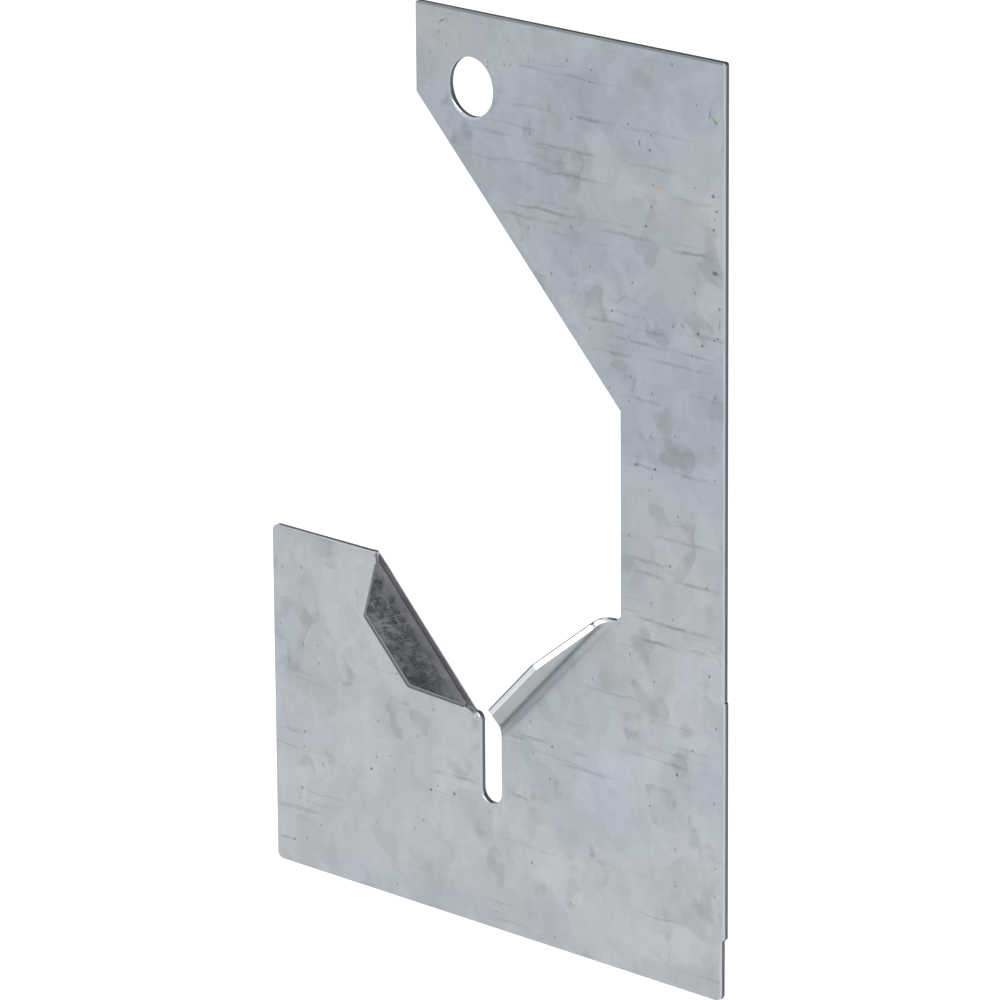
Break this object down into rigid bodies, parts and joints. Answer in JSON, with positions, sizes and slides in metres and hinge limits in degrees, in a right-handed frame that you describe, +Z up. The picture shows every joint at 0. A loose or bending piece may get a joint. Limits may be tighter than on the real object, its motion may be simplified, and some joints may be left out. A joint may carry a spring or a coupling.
{
  "type": "cable support clip",
  "caption": "Flat galvanised sheet hook with a fixing hole in its arm and a folded V-shaped cradle that carries a bundle of cables.",
  "frame": {"origin": "centre of the fixing hole, on the flat back of the sheet", "axes": "+Z up as it hangs, +X along the sheet towards its straight edge, -Y out of the front, the way the two flanges are folded"},
  "size_m": [0.0677, 0.0071, 0.1017],
  "materials": {
    "galvanised_steel": "hot-dip galvanised sheet with a soft spangle, satin"
  },
  "bodies": {
    "root": {"support_clip": "galvanised_steel"}
  },
  "joints": []
}
